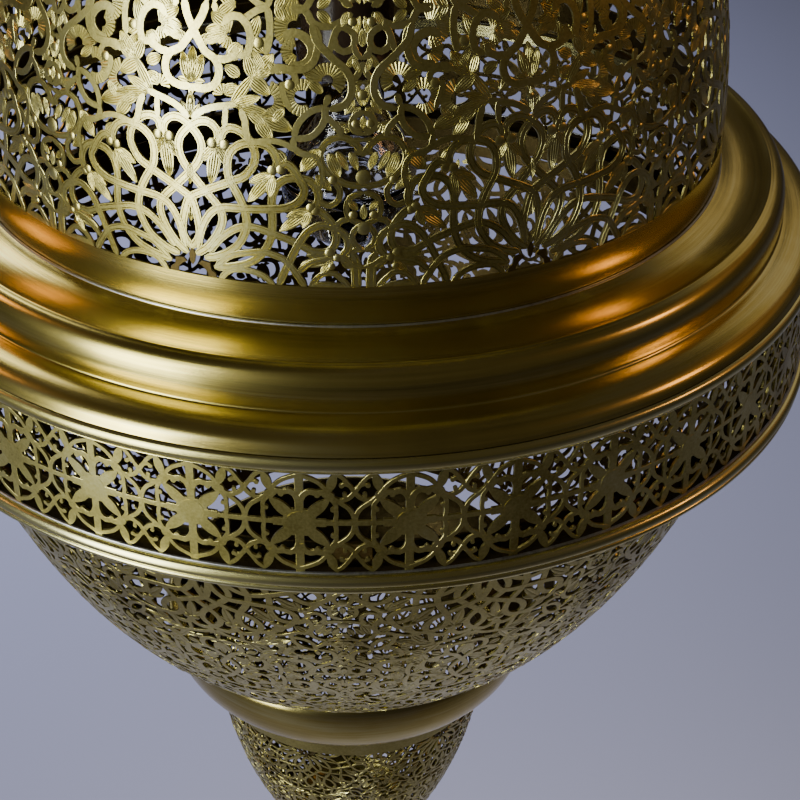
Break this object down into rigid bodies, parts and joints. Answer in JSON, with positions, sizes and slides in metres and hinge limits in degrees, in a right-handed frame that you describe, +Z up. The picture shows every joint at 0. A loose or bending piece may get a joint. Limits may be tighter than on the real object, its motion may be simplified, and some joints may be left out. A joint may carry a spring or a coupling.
{
  "type": "hanging lantern",
  "caption": "Pierced brass hanging lantern: egg-shaped body on a stepped collar and frieze, with a hinged bowl below that opens to reach the bulb.",
  "frame": {"origin": "the inside of the hanging ring at its top, where a ceiling hook touches it", "axes": "+Z up along the lantern's axis, +X along the wire of the hanging ring where the eye hangs on it, -Y towards the front, away from the bowl's hinge"},
  "size_m": [0.406, 0.406, 0.8595],
  "materials": {
    "pierced_brass": "satin, pierced and engraved sheet",
    "spun_brass": "satin, with fine turning lines round the axis",
    "cast_brass": "satin, turned or cast",
    "steel": "zinc plated",
    "cap_metal": "drawn",
    "porcelain": "glazed",
    "bulb_glass": "clear",
    "bush": "moulded"
  },
  "bodies": {
    "hook_ring": {"hanging_ring": "cast_brass"},
    "lantern": {"top_loop": "cast_brass", "loop_baluster": "cast_brass", "cable_bush": "bush", "crown_cap": "spun_brass", "neck_collar": "spun_brass", "neck_plate": "spun_brass", "neck_washer": "steel", "neck_nut": "steel", "stem_tube": "steel", "upper_body": "pierced_brass", "ring_collar": "spun_brass", "upper_rim": "spun_brass", "frieze_band": "pierced_brass", "lower_rim": "spun_brass", "holder_nut": "steel", "holder_cap": "porcelain", "holder_body": "porcelain", "hinge_leaf_ring": "cast_brass", "hinge_pin": "steel", "catch_body": "cast_brass"},
    "bowl": {"bowl_rim": "spun_brass", "lower_bowl": "pierced_brass", "bowl_collar": "spun_brass", "small_bowl": "pierced_brass", "finial": "cast_brass", "finial_washer": "steel", "finial_nut": "steel", "hinge_leaf_bowl_left": "cast_brass", "hinge_leaf_bowl_right": "cast_brass", "catch_strike": "steel"},
    "bulb": {"bulb_cap": "cap_metal", "bulb_glass": "bulb_glass"}
  },
  "joints": [
    {"name": "lantern_swing", "type": "hinge", "parent": "hook_ring", "child": "lantern", "pos_m": [0, 0, -0.0445], "axis": [1, 0, 0], "range_deg": [-30, 30]},
    {"name": "bowl_hinge", "type": "hinge", "parent": "lantern", "child": "bowl", "pos_m": [0, 0.1979, -0.48196], "axis": [1, 0, 0], "range_deg": [0, 85]},
    {"name": "bulb_unscrew", "type": "slide", "parent": "lantern", "child": "bulb", "axis": [0, 0, -1], "range_m": [0, 0.03]}
  ]
}
